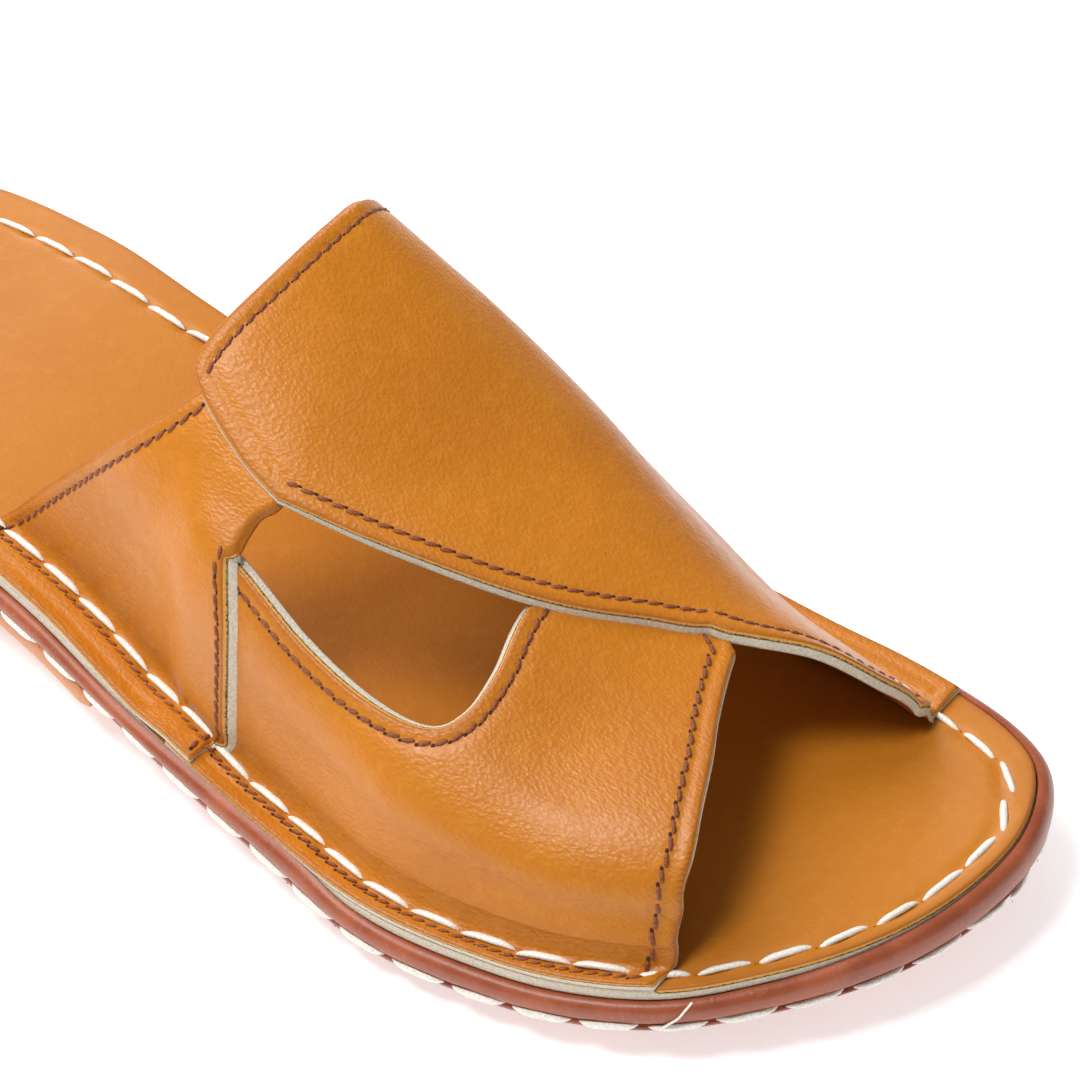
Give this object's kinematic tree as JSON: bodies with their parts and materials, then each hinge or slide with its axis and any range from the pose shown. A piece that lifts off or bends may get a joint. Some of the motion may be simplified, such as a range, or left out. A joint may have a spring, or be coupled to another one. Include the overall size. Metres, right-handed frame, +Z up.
{
  "type": "leather slide sandal",
  "caption": "Right flat slide sandal: crossing leather straps with a window, leather footbed, welt stitching, low rubber heel.",
  "frame": {"origin": "on the floor, under the middle of the sandal's box", "axes": "+Z up, the toe towards -Y, the big toe's side towards +X"},
  "size_m": [0.1074, 0.2822, 0.0868],
  "materials": {
    "strap_leather": "smooth tan leather, satin",
    "footbed_leather": "smooth tan leather, satin",
    "sole_rubber": "moulded reddish-brown rubber, satin"
  },
  "bodies": {
    "root": {"outsole": "sole_rubber", "wedge": "strap_leather", "heel": "sole_rubber", "insole": "footbed_leather", "upper": "strap_leather"}
  },
  "joints": []
}
